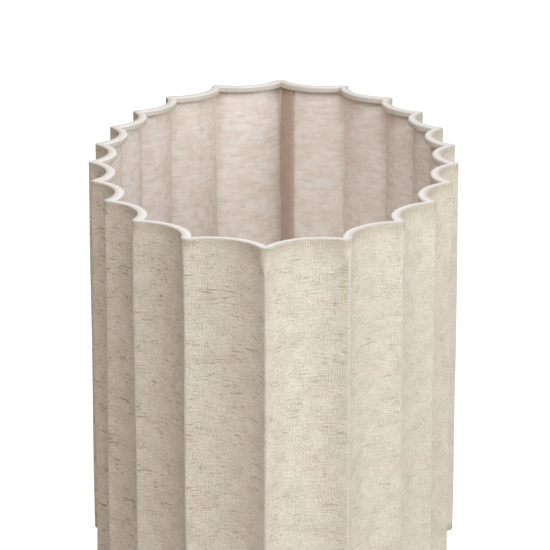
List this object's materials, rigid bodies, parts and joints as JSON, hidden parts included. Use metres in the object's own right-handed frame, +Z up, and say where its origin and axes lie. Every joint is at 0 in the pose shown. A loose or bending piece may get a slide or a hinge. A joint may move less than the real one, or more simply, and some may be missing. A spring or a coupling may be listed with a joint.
{
  "type": "lamp shade",
  "caption": "Oval fluted linen lamp shade with flat-topped hems folded over shaped rim bars, a stiff liner, and a recessed fitter ring on arms with a lift-out reducer.",
  "frame": {"origin": "under the middle of the oval, level with the bottom rim", "axes": "+Z up towards the open top rim, Y along the oval's long axis, X along its short axis"},
  "size_m": [0.1452, 0.3, 0.152],
  "materials": {
    "linen": "natural flecked plain-weave linen, matt",
    "liner_sheet": "translucent stiff sheet, linen weave showing through",
    "coated_steel": "white powder coat",
    "reducer_plastic": "white moulded plastic"
  },
  "bodies": {
    "shade": {"linen_cover": "linen", "shade_liner": "liner_sheet", "seam_lap": "liner_sheet", "top_rim_bar": "coated_steel", "bottom_rim_bar": "coated_steel", "fitter_ring": "coated_steel", "fitter_arm_front": "coated_steel", "fitter_arm_back": "coated_steel", "fitter_arm_left": "coated_steel", "fitter_arm_right": "coated_steel"},
    "reducer": {"reducer_ring": "reducer_plastic"}
  },
  "joints": [
    {"name": "reducer_lift", "type": "slide", "parent": "shade", "child": "reducer", "axis": [0, 0, 1], "range_m": [0, 0.03]}
  ]
}
